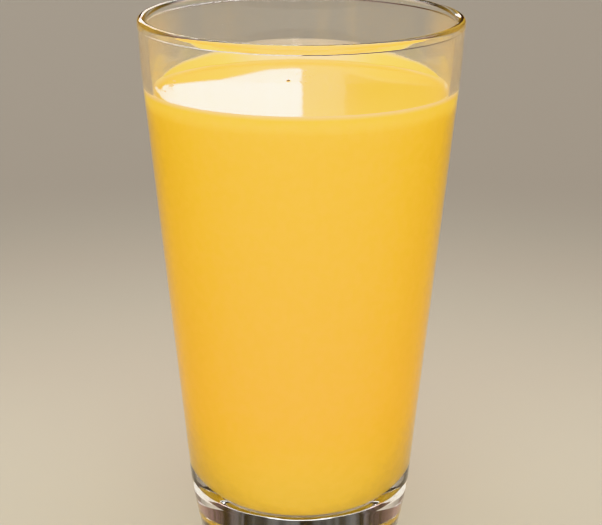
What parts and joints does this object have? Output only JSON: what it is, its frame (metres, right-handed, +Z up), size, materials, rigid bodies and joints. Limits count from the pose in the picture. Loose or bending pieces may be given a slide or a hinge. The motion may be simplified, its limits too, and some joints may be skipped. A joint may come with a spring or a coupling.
{
  "type": "mango lassi in a glass",
  "caption": "Tall tapered clear glass with a rounded lip and a foot that is hollow underneath, filled with thick yellow mango lassi to a little below the lip.",
  "frame": {"origin": "centre of the face that the glass stands on", "axes": "+Z up along the glass's axis, and -Y towards the viewer"},
  "size_m": [0.0888, 0.0888, 0.149],
  "materials": {
    "clear_glass": "clear polished soda-lime glass",
    "mango_lassi": "opaque, smooth, wet yellow drink"
  },
  "bodies": {
    "root": {"glass": "clear_glass", "drink": "mango_lassi"}
  },
  "joints": []
}
